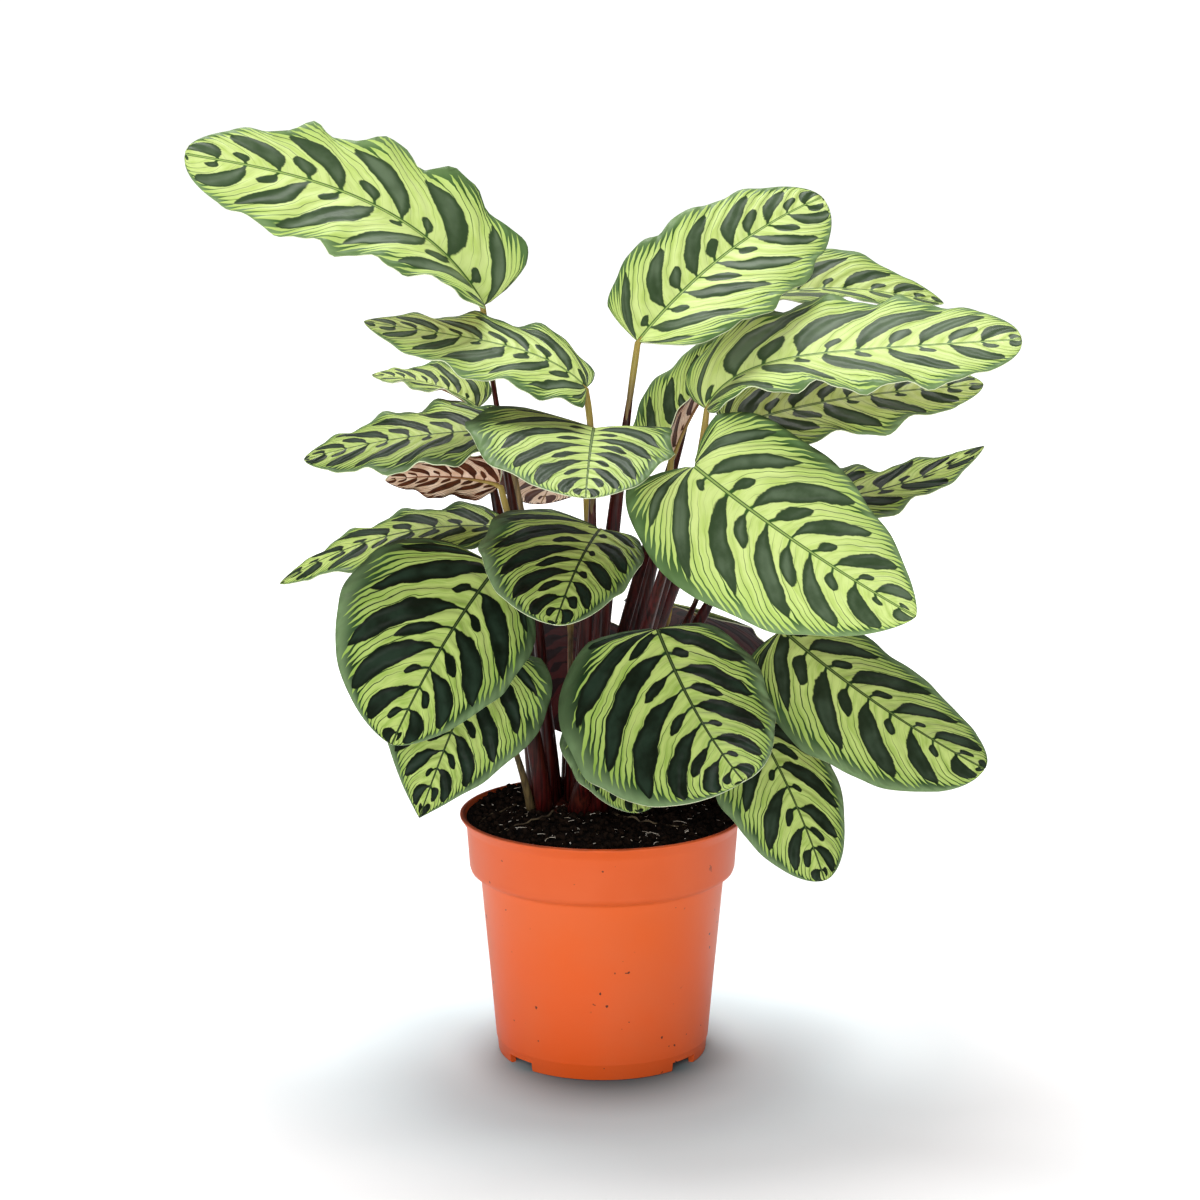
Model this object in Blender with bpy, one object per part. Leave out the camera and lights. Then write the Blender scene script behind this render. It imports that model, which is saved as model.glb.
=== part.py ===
"""Potted calathea: a peacock-patterned foliage plant in a plain orange nursery pot.

The pot stands on z = 0 with its axis on Z. The plant's leaves rise from one rhizome, which sits in a
socket in the soil. Every leaf is a stem (the petiole) and a blade, each an object of its own.
Blender units are metres; the tables below are in millimetres and degrees.
"""

import math
from collections import namedtuple
from itertools import combinations

import bmesh
import bpy
from mathutils import Matrix, Vector

MM = 0.001
GAP = 0.3  # clearance between pieces that touch on the real plant

# Pot: a moulded nursery pot of the 14 cm size.
POT_HEIGHT = 121.0
LIP_RADIUS = 70.0
BAND_TOP_RADIUS = 66.6
BAND_LOW_RADIUS = 65.2
BAND_HEIGHT = 30.0
WALL_TOP_RADIUS = 59.8
BASE_RADIUS = 51.9
WALL = 1.4
FLOOR_HEIGHT = 5.0  # underside of the floor above the ground
FOOT_ROUND = 1.6
STEP_HEIGHT = 8.0  # faint moulded step above the foot ring
STEP_DEPTH = 0.5
NOTCH_ANGLES = (219.0, 321.0, 141.0, 39.0)  # drainage notches in the foot ring
NOTCH_WIDTH = 17.0
NOTCH_HEIGHT = 4.6
POT_SEGMENTS = 64

# Soil and rhizome.
SOIL_EDGE = 118.5
SOIL_TOP = 121.0
RHIZOME_CENTRE = (-16.0, 12.0)
RHIZOME_RADIUS = 28.0
RHIZOME_TOP = 122.5
RHIZOME_DEPTH = 24.0

# Stems: radius at the foot, along the slim part and at the joint with the blade.
STEM_FOOT_RADIUS = 2.3
STEM_SLIM_RADIUS = 1.3
STEM_JOINT_RADIUS = 1.5
FEET_RADIUS = 23.5  # the stems' feet stand within this circle on the rhizome
FEET_SPACING = 7.2
FEET_SPREAD = 55.0  # a foot starts this far out for each unit of its stem's lean, before the spacing
STEM_STEPS = 9

# Blades.
BLADE_THICKNESS = 1.0
BLADE_ROWS = 9
BLADE_COLUMNS = 6
BASE_TUCK = 0.03  # share of the length over which the outline turns in to the stem
FIRST_ROW = 0.0005  # where the outline starts and ends, so that both ends keep a little width
LAST_ROW = 0.996
DROOP = 14.0  # degrees by which a blade's outer half bends down from its inner half
MIDRIB_STEPS = 48

# x, y, z: where the blade joins its stem. heading: the midrib's bearing. rise, fall: the midrib's slope
# at the base and at the tip; bend: how soon it turns from the one to the other. bank: how far the blade
# leans to its right; twist: the lean's change towards the tip. cup: how much the blade closes to a V at
# its base; fold: the V all along. lobe: how far the base corners sweep back, as a share of the length.
# uneven: how much wider the right half is than the mean, which sweeps its corner back further too.
# base, tip: the outline's exponents at its two ends, smaller for a blunter end.
Leaf = namedtuple(
    "Leaf", "x y z heading rise fall bend bank twist cup fold lobe uneven length width base tip"
)

LEAVES = {
    # the upper leaves
    "leaf_01": Leaf(-58, 30, 366, 186, 62, 10, 2, -38, -16, 44, 2, 0.0, -0.12, 166.3, 82, 0.16, 0.47),
    "leaf_02": Leaf(17, 4, 352, 38, 42, 14, 1, 30, 10, 30, 4, 0.0, 0.16, 134, 75, 0.24, 0.50),
    "leaf_03": Leaf(52, 74, 349, 5, 40, -12, 2, 22, 0, 20, 16, 0.0, -0.1, 125, 62, 0.34, 0.72),
    "leaf_04": Leaf(50, -5, 321, 358, 64, 4, 6, 18, 10, 18, 4, 0.02, -0.08, 158.2, 84, 0.34, 0.46),
    "leaf_05": Leaf(62, 8, 310, 2, 20, 4, 2, 30, 0, 10, 0, 0.05, -0.1, 124, 60, 0.34, 0.60),
    "leaf_06": Leaf(34, 38, 290, 20, 70, 30, 1, 0, 0, 0, 48, 0.06, -0.2, 80, 46, 0.22, 0.70),
    "leaf_07": Leaf(-8, -4, 331, 183, 48, 9, 4, -20, 0, 8, 0, 0.05, -0.06, 112, 68, 0.34, 0.72),
    "leaf_08": Leaf(-62, 52, 313, 172, 40, 4, 2, -8, 0, 20, 10, 0.05, 0.0, 56, 48, 0.34, 0.72),
    # the middle leaves
    "leaf_09": Leaf(-48, -2, 310, 184, 0, -16, 1, -14, 0, 10, 2, 0.05, 0.0, 96, 74, 0.34, 0.62),
    "leaf_10": Leaf(-4, -14, 313, 268, 0, -18, 1, -4, 0, 10, 6, 0.08, 0.2, 104, 98, 0.34, 0.64),
    "leaf_11": Leaf(-1, -24, 266, 258, -4, -26, 1, -10, 0, 10, 2, 0.06, 0.28, 102, 76, 0.34, 0.60),
    "leaf_12": Leaf(43, -46, 300, 329, -32, -22, 1, 52, 0, 10, -4, 0.15, 0.05, 130, 93, 0.34, 0.76),
    "leaf_13": Leaf(-50, -25, 248, 238, -28, -48, 1, -34, 0, 0, 0, 0.02, 0.20, 112, 94, 0.40, 0.68),
    "leaf_14": Leaf(-56, -24, 205, 232, -50, -60, 1, -36, 0, 0, 0, 0.22, 0.06, 86, 83, 0.34, 1.0),
    "leaf_15": Leaf(26, -45, 222, 294, -42, -16, 1, 25, 0, 0, 0, 0.06, 0.25, 107, 98, 0.34, 0.54),
    "leaf_16": Leaf(87, -10, 214, 335, -36, -22, 1, 38, 0, 0, -12, 0.05, 0.04, 119, 75, 0.34, 0.54),
    "leaf_17": Leaf(66, -15, 182, 313, -44, -64, 1, 24, 0, 0, -6, 0.0, 0.06, 99, 63, 0.34, 0.54),
    "leaf_18": Leaf(4, -36, 183, 284, -24, -50, 1, 6, 0, 0, 0, 0.05, 0.0, 66, 58, 0.34, 0.60),
    "leaf_19": Leaf(-52, 26, 258, 182, 4, -34, 1, -14, 0, 10, 0, 0.05, 0.0, 112, 54, 0.34, 0.72),
    "leaf_20": Leaf(-50, 18, 281, 184, 14, -10, 1, 42, 0, 10, 4, 0.0, 0.0, 56, 42, 0.34, 0.72),
    "leaf_21": Leaf(75, 15, 274, 3, -6, 32, 1, 18, 0, 10, 4, 0.05, 0.0, 116, 54, 0.34, 0.80),
    # the leaves at the back
    "leaf_22": Leaf(-8, 46, 270, 106, 30, -34, 2, 0, 0, 20, 4, 0.05, 0.0, 95.5, 72, 0.34, 0.62),
    "leaf_23": Leaf(56, 44, 250, 45, 30, -34, 2, 0, 0, 20, 4, 0.05, 0.0, 116.5, 76, 0.34, 0.62),
    "leaf_24": Leaf(-50, 46, 226, 140, 10, -42, 2, 0, 0, 10, 2, 0.05, 0.0, 108, 72, 0.34, 0.62),
    "leaf_25": Leaf(34, 52, 214, 62, -10, -78, 1, 6, 0, 0, 2, 0.0, 0.0, 100, 76, 0.34, 0.62),
    "leaf_26": Leaf(-16, 54, 210, 92, -24, -88, 1, 8, 0, 0, 0, 0.0, 0.0, 98, 80, 0.34, 0.62),
}


def clear_scene():
    for thing in list(bpy.data.objects):
        bpy.data.objects.remove(thing)


def material(name, colour, roughness):
    made = bpy.data.materials.new(name)
    made.use_nodes = True
    shader = made.node_tree.nodes["Principled BSDF"]
    shader.inputs["Base Color"].default_value = (*colour, 1.0)
    shader.inputs["Roughness"].default_value = roughness
    shader.inputs["Metallic"].default_value = 0.0
    return made


def add_object(name, data, finish):
    made = bpy.data.objects.new(name, data)
    bpy.context.scene.collection.objects.link(made)
    data.materials.append(finish)
    return made


def add_mesh(name, built, finish):
    """Turns a finished bmesh, made in millimetres, into an object in metres."""
    bmesh.ops.scale(built, vec=(MM, MM, MM), verts=built.verts)
    bmesh.ops.recalc_face_normals(built, faces=built.faces)
    data = bpy.data.meshes.new(name)
    built.to_mesh(data)
    built.free()
    return add_object(name, data, finish)


def turned(profile, segments):
    """A solid of revolution about Z from a list of (radius, height), both ends on the axis."""
    built = bmesh.new()
    points = [built.verts.new((radius, 0.0, height)) for radius, height in profile]
    edges = [built.edges.new(pair) for pair in zip(points, points[1:])]
    bmesh.ops.spin(
        built,
        geom=points + edges,
        cent=(0, 0, 0),
        axis=(0, 0, 1),
        angle=2 * math.pi,
        steps=segments,
        use_merge=True,
    )
    bmesh.ops.remove_doubles(built, verts=built.verts, dist=0.001)
    return built


def add_cutter(name, built):
    cutter = add_mesh(name, built, material(name, (0.5, 0.5, 0.5), 0.5))
    cutter.hide_render = True
    cutter.display_type = "WIRE"
    return cutter


def cut(piece, cutter):
    boolean = piece.modifiers.new("cut", "BOOLEAN")
    boolean.operation = "DIFFERENCE"
    boolean.solver = "EXACT"
    boolean.object = cutter


# Pot ------------------------------------------------------------------------------------------------


def wall_radius(height):
    """Outer radius of the tapered wall below the band."""
    share = height / (POT_HEIGHT - BAND_HEIGHT)
    return BASE_RADIUS + (WALL_TOP_RADIUS - BASE_RADIUS) * share


def pot_profile():
    band_low = POT_HEIGHT - BAND_HEIGHT
    outside = [
        (0.0, FLOOR_HEIGHT),
        (BASE_RADIUS - 4.0, FLOOR_HEIGHT),
        (BASE_RADIUS - 3.4, 0.0),
        (BASE_RADIUS - FOOT_ROUND, 0.0),
        (BASE_RADIUS - 0.4, FOOT_ROUND * 0.6),
        (wall_radius(STEP_HEIGHT) - STEP_DEPTH, STEP_HEIGHT - 1.0),
        (wall_radius(STEP_HEIGHT), STEP_HEIGHT),
        (WALL_TOP_RADIUS, band_low - 2.0),
        (BAND_LOW_RADIUS - 1.6, band_low + 1.0),
        (BAND_LOW_RADIUS, band_low + 3.5),
        (BAND_TOP_RADIUS, POT_HEIGHT - 6.0),
        (LIP_RADIUS - 0.6, POT_HEIGHT - 1.6),
        (LIP_RADIUS, POT_HEIGHT - 0.5),
        (LIP_RADIUS - 0.6, POT_HEIGHT),
    ]
    inside = [
        (LIP_RADIUS - 2.2, POT_HEIGHT),
        (BAND_TOP_RADIUS - WALL, POT_HEIGHT - 5.0),
        (BAND_LOW_RADIUS - WALL, band_low + 4.0),
        (WALL_TOP_RADIUS - WALL, band_low - 0.5),
        (wall_radius(FLOOR_HEIGHT) - WALL, FLOOR_HEIGHT + WALL),
        (0.0, FLOOR_HEIGHT + WALL),
    ]
    return outside + inside


def notch_cutter():
    """Four blocks through the foot ring."""
    built = bmesh.new()
    for angle in NOTCH_ANGLES:
        placed = Matrix.Rotation(math.radians(angle), 4, "Z") @ Matrix.Translation(
            (BASE_RADIUS, 0, NOTCH_HEIGHT / 2 - 1.0)
        )
        sized = Matrix.Diagonal((12.0, NOTCH_WIDTH, NOTCH_HEIGHT + 2.0, 1.0))
        bmesh.ops.create_cube(built, size=1.0, matrix=placed @ sized)
    return built


def make_pot(finish):
    pot = add_mesh("pot", turned(pot_profile(), POT_SEGMENTS), finish)
    cut(pot, add_cutter("notch_cutter", notch_cutter()))
    pot.data.shade_smooth()
    pot.data.set_sharp_from_angle(angle=math.radians(35))
    return pot


# Soil and rhizome -----------------------------------------------------------------------------------


def make_soil(finish):
    """The root ball fills the pot and is heaped slightly towards the middle."""
    low = FLOOR_HEIGHT + WALL + GAP
    band_low = POT_HEIGHT - BAND_HEIGHT
    clear = WALL + GAP
    profile = [
        (0.0, low),
        (wall_radius(low) - clear - 1.0, low),
        (wall_radius(low + 4.0) - clear - 0.4, low + 4.0),
        (WALL_TOP_RADIUS - clear - 0.2, band_low - 1.0),
        (BAND_LOW_RADIUS - clear - 1.0, band_low + 7.0),
        (BAND_TOP_RADIUS - clear - 0.5, SOIL_EDGE - 4.0),
        (BAND_TOP_RADIUS - clear - 0.8, SOIL_EDGE),
        (45.0, SOIL_EDGE + 1.4),
        (0.0, SOIL_TOP),
    ]
    soil = add_mesh("soil", turned(profile, 48), finish)
    socket = bmesh.new()
    x, y = RHIZOME_CENTRE
    depth = RHIZOME_DEPTH + GAP
    bmesh.ops.create_cone(
        socket,
        cap_ends=True,
        segments=32,
        radius1=RHIZOME_RADIUS + GAP - 8.0,
        radius2=RHIZOME_RADIUS + GAP,
        depth=depth * 2,
        matrix=Matrix.Translation((x, y, RHIZOME_TOP)),
    )
    cut(soil, add_cutter("rhizome_socket", socket))
    return soil


def make_rhizome(finish):
    built = bmesh.new()
    x, y = RHIZOME_CENTRE
    slope = 8.0 / (2 * (RHIZOME_DEPTH + GAP))
    top = RHIZOME_RADIUS - slope * (RHIZOME_DEPTH + GAP)
    bmesh.ops.create_cone(
        built,
        cap_ends=True,
        segments=32,
        radius1=top - slope * RHIZOME_DEPTH,
        radius2=top,
        depth=RHIZOME_DEPTH,
        matrix=Matrix.Translation((x, y, RHIZOME_TOP - RHIZOME_DEPTH / 2)),
    )
    return add_mesh("rhizome", built, finish)


# Leaves ---------------------------------------------------------------------------------------------


def midrib(leaf):
    """Points and frames (forward, right, up) along a blade's midrib, evenly spaced base to tip."""
    place = Vector((leaf.x, leaf.y, leaf.z))
    stations = []
    for step in range(MIDRIB_STEPS + 1):
        share = step / MIDRIB_STEPS
        turn = math.radians(leaf.heading)
        rise = math.radians(leaf.fall + (leaf.rise - leaf.fall) * (1 - share) ** leaf.bend)
        bank = math.radians(leaf.bank + leaf.twist * share)
        forward = Vector((math.cos(turn) * math.cos(rise), math.sin(turn) * math.cos(rise), math.sin(rise)))
        level = Vector((math.sin(turn), -math.cos(turn), 0.0))
        right = Matrix.Rotation(bank, 3, forward) @ level
        stations.append((place.copy(), forward, right, right.cross(forward)))
        place += forward * (leaf.length / MIDRIB_STEPS)
    return stations


def tucked(share):
    """Turns the outline's last few millimetres in to the stem."""
    return min(1.0, share / BASE_TUCK) ** 0.5


def half_width(share, leaf):
    """The blade's mean half width: round at the base, then drawn in to its tip."""
    widest = leaf.base / (leaf.base + leaf.tip)
    rising = (share / widest) ** leaf.base * tucked(share) ** 0.5
    falling = ((1 - share) / (1 - widest)) ** leaf.tip
    return leaf.width / 2 * rising * falling


def blade_point(leaf, stations, share, across):
    """A point of the blade: share runs from 0 at the base to 1 at the tip, across from -1 to 1."""
    along = share * MIDRIB_STEPS
    low = min(int(along), MIDRIB_STEPS - 1)
    place, forward, right, up = (
        a.lerp(b, along - low) for a, b in zip(stations[low], stations[low + 1])
    )
    reach = abs(across)
    side = math.copysign(1.0, across)
    out = half_width(share, leaf) * (1 + leaf.uneven * side) * reach
    cupped = leaf.cup * (1 - share) ** 1.5
    inner = math.radians(leaf.fold + cupped)
    outer = math.radians(leaf.fold + cupped - DROOP * reach)
    lift = (math.sin(inner) + math.sin(outer)) / 2
    spread = (math.cos(inner) + math.cos(outer)) / 2
    swept = leaf.lobe * (1 + 4 * leaf.uneven * side)
    back = swept * leaf.length * reach**2 * (1 - share) ** 3 * tucked(share)
    return place + right * (side * out * spread) + up * (out * lift) - forward * back


def make_blade(name, leaf, finish):
    """A flat grid laid onto the blade's surface, then given its thickness."""
    stations = midrib(leaf)
    built = bmesh.new()
    bmesh.ops.create_grid(built, x_segments=BLADE_ROWS, y_segments=BLADE_COLUMNS, size=1.0)
    for corner in built.verts:
        even = (corner.co.x + 1) / 2
        eased = (1 - math.cos(math.pi * even)) / 2
        share = FIRST_ROW + (LAST_ROW - FIRST_ROW) * (0.6 * eased + 0.4 * even)
        corner.co = blade_point(leaf, stations, share, corner.co.y)
    blade = add_mesh(name, built, finish)
    shell = blade.modifiers.new("thickness", "SOLIDIFY")
    shell.thickness = BLADE_THICKNESS * MM
    shell.offset = 0.0
    blade.data.shade_smooth()
    return blade


def stem_feet():
    """Each stem's foot: the more a stem leans, the further out it stands, as far as there is room."""
    centre = Vector(RHIZOME_CENTRE)
    feet = {}
    for name, leaf in LEAVES.items():
        lean = (Vector((leaf.x, leaf.y)) - centre) / (leaf.z - RHIZOME_TOP)
        feet[name] = lean * FEET_SPREAD
    for _ in range(200):
        for one, other in combinations(feet, 2):
            apart = feet[one] - feet[other]
            if apart.length < FEET_SPACING:
                push = apart.normalized() * (FEET_SPACING - apart.length) / 2
                feet[one] += push
                feet[other] -= push
        for name in feet:
            if feet[name].length > FEET_RADIUS:
                feet[name] *= FEET_RADIUS / feet[name].length
    return {name: centre + foot for name, foot in feet.items()}


def stem_course(leaf, foot):
    """A cubic Bezier from the rhizome to the blade's base, as its four control points."""
    place, forward, right, up = midrib(leaf)[0]
    arrive = (forward * 0.3 + Vector((0, 0, 1))).normalized()
    flat = abs(up.dot(arrive))
    edge = half_width(FIRST_ROW, leaf) + STEM_JOINT_RADIUS / max(0.7, flat)
    closed = math.radians(leaf.fold + leaf.cup)
    halves = [right * (side * math.cos(closed)) + up * math.sin(closed) for side in (-1, 1)]
    lowest = max(0.0, *(-half.dot(arrive) for half in halves))
    end = place - arrive * (flat * BLADE_THICKNESS / 2 + lowest * edge + GAP)
    start = Vector((foot.x, foot.y, RHIZOME_TOP))
    reach = (end - start).length
    leave = ((end - start) / reach + Vector((0, 0, 0.6))).normalized()
    start.z += GAP + STEM_FOOT_RADIUS * leave.xy.length
    return start, start + leave * reach * 0.35, end - arrive * reach * 0.3, end


def bezier(course, share):
    a, b, c, d = course
    rest = 1 - share
    return a * rest**3 + b * (3 * rest**2 * share) + c * (3 * rest * share**2) + d * share**3


def stem_radius(share):
    """Stout where the sheath clasps the rhizome, slim along the stem, fuller at the joint."""
    foot = max(0.0, 1 - share / 0.55) ** 1.5
    joint = max(0.0, (share - 0.86) / 0.14)
    return (
        STEM_SLIM_RADIUS
        + (STEM_FOOT_RADIUS - STEM_SLIM_RADIUS) * foot
        + (STEM_JOINT_RADIUS - STEM_SLIM_RADIUS) * joint
    )


def make_stem(name, leaf, foot, finish):
    course = stem_course(leaf, foot)
    line = bpy.data.curves.new(name, "CURVE")
    line.dimensions = "3D"
    line.bevel_depth = 1.0
    line.bevel_resolution = 1
    line.use_fill_caps = True
    spline = line.splines.new("POLY")
    spline.points.add(STEM_STEPS)
    for step, point in enumerate(spline.points):
        share = step / STEM_STEPS
        point.co = (*(bezier(course, share) * MM), 1.0)
        point.radius = stem_radius(share) * MM
    return add_object(name, line, finish)


def main():
    clear_scene()
    make_pot(material("pot_plastic", (0.80, 0.15, 0.03), 0.45))
    make_soil(material("soil", (0.02, 0.012, 0.008), 0.95))
    make_rhizome(material("rhizome", (0.06, 0.02, 0.015), 0.8))
    blade_finish = material("leaf_green", (0.30, 0.50, 0.10), 0.4)
    stem_finish = material("stem", (0.12, 0.03, 0.03), 0.5)
    feet = stem_feet()
    for name, leaf in LEAVES.items():
        make_blade(name, leaf, blade_finish)
        make_stem(name.replace("leaf", "stem"), leaf, feet[name], stem_finish)


main()
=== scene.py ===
# %% [markdown]
# # A potted calathea
# A calathea is grown for its leaves: each blade is painted with dark ovals that fan out from the midrib,
# like the eyes on a peacock's tail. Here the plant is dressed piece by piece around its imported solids:
# blades, leaf stalks, pot, soil and crown. Shapes are worked out in millimetres, and each finished
# piece is scaled to metres, in the frame of the solids.

import math
import random
from collections import namedtuple
from itertools import combinations

import bmesh
import bpy
from mathutils import Matrix, Vector, noise


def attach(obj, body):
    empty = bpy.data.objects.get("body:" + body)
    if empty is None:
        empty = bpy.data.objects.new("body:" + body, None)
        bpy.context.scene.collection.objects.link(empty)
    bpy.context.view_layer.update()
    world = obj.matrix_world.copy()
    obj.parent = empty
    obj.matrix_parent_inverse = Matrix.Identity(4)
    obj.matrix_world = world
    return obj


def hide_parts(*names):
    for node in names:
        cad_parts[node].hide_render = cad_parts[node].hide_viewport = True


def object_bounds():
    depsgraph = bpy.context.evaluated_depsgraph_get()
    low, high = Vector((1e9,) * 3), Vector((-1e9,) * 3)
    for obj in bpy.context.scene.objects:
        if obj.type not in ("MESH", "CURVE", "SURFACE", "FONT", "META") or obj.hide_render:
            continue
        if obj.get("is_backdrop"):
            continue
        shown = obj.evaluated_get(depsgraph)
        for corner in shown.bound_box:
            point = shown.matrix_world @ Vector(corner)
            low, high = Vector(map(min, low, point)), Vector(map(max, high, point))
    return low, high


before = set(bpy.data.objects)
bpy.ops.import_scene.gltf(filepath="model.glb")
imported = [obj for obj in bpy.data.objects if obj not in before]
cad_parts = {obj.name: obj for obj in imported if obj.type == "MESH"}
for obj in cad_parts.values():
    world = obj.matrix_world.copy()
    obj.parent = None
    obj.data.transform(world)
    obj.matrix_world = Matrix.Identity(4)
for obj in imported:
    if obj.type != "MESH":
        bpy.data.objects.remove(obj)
solid_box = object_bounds()
MM = 0.001
print("solids' box, mm:", [[round(value / MM, 1) for value in corner] for corner in solid_box])

# %% [markdown]
# ## Camera
# The plant is seen from the front and a little above, with a long lens that keeps the pot's sides
# nearly parallel. Lens and sensor are in millimetres.

# %% Camera
CAMERA_PLACE = (-0.0011, -1.58, 0.554)  # metres
CAMERA_PITCH = 11.7  # degrees below the horizon
LENS = 99.84
SENSOR = 36.0
FAR_ENOUGH = 200.0  # metres, past the floor in view


def put_in_scene(name, data):
    made = bpy.data.objects.new(name, data)
    bpy.context.scene.collection.objects.link(made)
    return made


eye = bpy.data.cameras.new("camera")
eye.lens = LENS
eye.sensor_width = SENSOR
eye.clip_end = FAR_ENOUGH
camera = put_in_scene("camera", eye)
camera.location = CAMERA_PLACE
camera.rotation_euler = (math.radians(90 - CAMERA_PITCH), 0, 0)
bpy.context.scene.camera = camera
print("camera:", CAMERA_PLACE, "m,", CAMERA_PITCH, "degrees down")

# %% [markdown]
# ## Node helpers
# A finish is a small graph of nodes. Written out in full, the nodes hide the idea behind them, so a
# `Graph` has one method for each kind of node. A method returns a `Value`, and a sign between values
# adds the node that does the sum: `reach * 2 - 1` adds a multiply node and a subtract node.


# %% Node helpers
def linear(colour):
    """A colour picked on a screen, 0 to 255, as the values that a shader wants."""
    parts = [part / 255 for part in colour]
    parts = [part / 12.92 if part <= 0.04045 else ((part + 0.055) / 1.055) ** 2.4 for part in parts]
    return (*parts, 1.0)


class Value:
    """One output of a node. A sign between it and another value or a number adds a math node."""

    def __init__(self, graph, socket):
        self.graph, self.socket = graph, socket

    def __add__(self, other):
        return self.graph.math("ADD", self, other)

    __radd__ = __add__

    def __sub__(self, other):
        return self.graph.math("SUBTRACT", self, other)

    def __rsub__(self, other):
        return self.graph.math("SUBTRACT", other, self)

    def __mul__(self, other):
        return self.graph.math("MULTIPLY", self, other)

    def __truediv__(self, other):
        return self.graph.math("DIVIDE", self, other)

    def __abs__(self):
        return self.graph.math("ABSOLUTE", self)


class Graph:
    def __init__(self, tree):
        self.tree = tree

    def plug(self, socket, value):
        """Links a value or sets a number. Three numbers on a colour socket were picked on a screen."""
        if isinstance(value, Value):
            self.tree.links.new(value.socket, socket)
        elif socket.type == "RGBA" and len(value) == 3:
            socket.default_value = linear(value)
        else:
            socket.default_value = value

    def node(self, kind, inputs=(), output=0, **settings):
        """Adds a node, fills its inputs in order or by name and returns one of its outputs."""
        made = self.tree.nodes.new(kind)
        for key, value in settings.items():
            setattr(made, key, value)
        for socket, value in inputs.items() if isinstance(inputs, dict) else enumerate(inputs):
            self.plug(made.inputs[socket], value)
        return Value(self, made.outputs[output])

    def math(self, operation, *values):
        return self.node("ShaderNodeMath", values, operation=operation)

    def larger(self, one, other):
        return self.math("MAXIMUM", one, other)

    def smaller(self, one, other):
        return self.math("MINIMUM", one, other)

    def attribute(self, name):
        return self.node("ShaderNodeAttribute", output="Fac", attribute_name=name)

    def vector(self, x, y, z):
        return self.node("ShaderNodeCombineXYZ", (x, y, z))

    def position(self):
        return self.node("ShaderNodeTexCoord", output="Object")

    def axis(self, name):
        """One coordinate of the position, in metres."""
        return self.node("ShaderNodeSeparateXYZ", (self.position(),), name)

    def distance(self, centre):
        places = (self.position(), centre)
        return self.node("ShaderNodeVectorMath", places, "Value", operation="DISTANCE")

    def noise(self, place, scale, detail=2.0, roughness=0.5):
        inputs = {"Vector": place, "Scale": scale, "Detail": detail, "Roughness": roughness}
        return self.node("ShaderNodeTexNoise", inputs, "Fac")

    def streaks(self, across, along, detail, roughness=0.5):
        """Noise drawn out into streaks that run up the piece."""
        inputs = {"Vector": self.position(), "Scale": (across, across, along)}
        return self.noise(self.node("ShaderNodeMapping", inputs), 1.0, detail, roughness)

    def chance(self, value):
        """A random number from 0 to 1 that stays the same for one value."""
        return self.node("ShaderNodeTexWhiteNoise", {"W": value}, "Value", noise_dimensions="1D")

    def ramp(self, value, low, high, bottom=0.0, top=1.0):
        """Goes smoothly from bottom to top as the value goes from low to high."""
        inputs = (value, low, high, bottom, top)
        return self.node("ShaderNodeMapRange", inputs, interpolation_type="SMOOTHSTEP")

    def mix(self, share, first, second):
        """Blends two colours, which the node takes in its sockets 6 and 7."""
        return self.node("ShaderNodeMix", {0: share, 6: first, 7: second}, 2, data_type="RGBA")

    def ray(self, kind):
        """1 for the rays of one kind, 0 for all others."""
        return self.node("ShaderNodeLightPath", output=kind)


class Finish(Graph):
    """The graph of one material."""

    def __init__(self, name, roughness=0.5, specular=0.5):
        self.material = bpy.data.materials.new(name)
        self.material.use_nodes = True
        super().__init__(self.material.node_tree)
        self.shader = self.tree.nodes["Principled BSDF"]
        self.shader.inputs["Roughness"].default_value = roughness
        self.shader.inputs["Specular IOR Level"].default_value = specular

    def colour(self, value):
        self.plug(self.shader.inputs["Base Color"], value)

    def roughness(self, value):
        self.plug(self.shader.inputs["Roughness"], value)

    def bump(self, height, strength, distance):
        inputs = {"Height": height, "Strength": strength, "Distance": distance}
        self.plug(self.shader.inputs["Normal"], self.node("ShaderNodeBump", inputs))


# %% [markdown]
# ## Piece helpers
# Each piece is shaped in a bmesh, in millimetres, with bmesh operators. `piece` turns the finished
# bmesh into an object at the origin, ties it to the solid body and hides the solids it stands for.


# %% Piece helpers
def mesh_object(name, built, finishes=()):
    """An object from a finished bmesh, brought from millimetres to metres."""
    bmesh.ops.scale(built, vec=(MM, MM, MM), verts=built.verts)
    data = bpy.data.meshes.new(name)
    built.to_mesh(data)
    built.free()
    for finish in finishes:
        data.materials.append(finish)
    return put_in_scene(name, data)


def piece(name, built, finishes, stands_for=(), flat_faces=False):
    made = mesh_object(name, built, finishes)
    if not flat_faces:
        made.data.shade_smooth()
    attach(made, "root")
    if stands_for:
        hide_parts(*stands_for)
    return made


def turned(profile, segments):
    """Spins a line of (radius, height) points into a closed round body."""
    built = bmesh.new()
    corners = [built.verts.new((radius, 0, height)) for radius, height in profile]
    for one, other in zip(corners, corners[1:]):
        built.edges.new((one, other))
    bmesh.ops.spin(
        built, geom=built.verts[:] + built.edges[:], axis=(0, 0, 1), cent=(0, 0, 0),
        angle=math.tau, steps=segments, use_merge=True,
    )
    bmesh.ops.remove_doubles(built, verts=built.verts, dist=0.001)
    bmesh.ops.recalc_face_normals(built, faces=built.faces)
    return built


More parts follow.
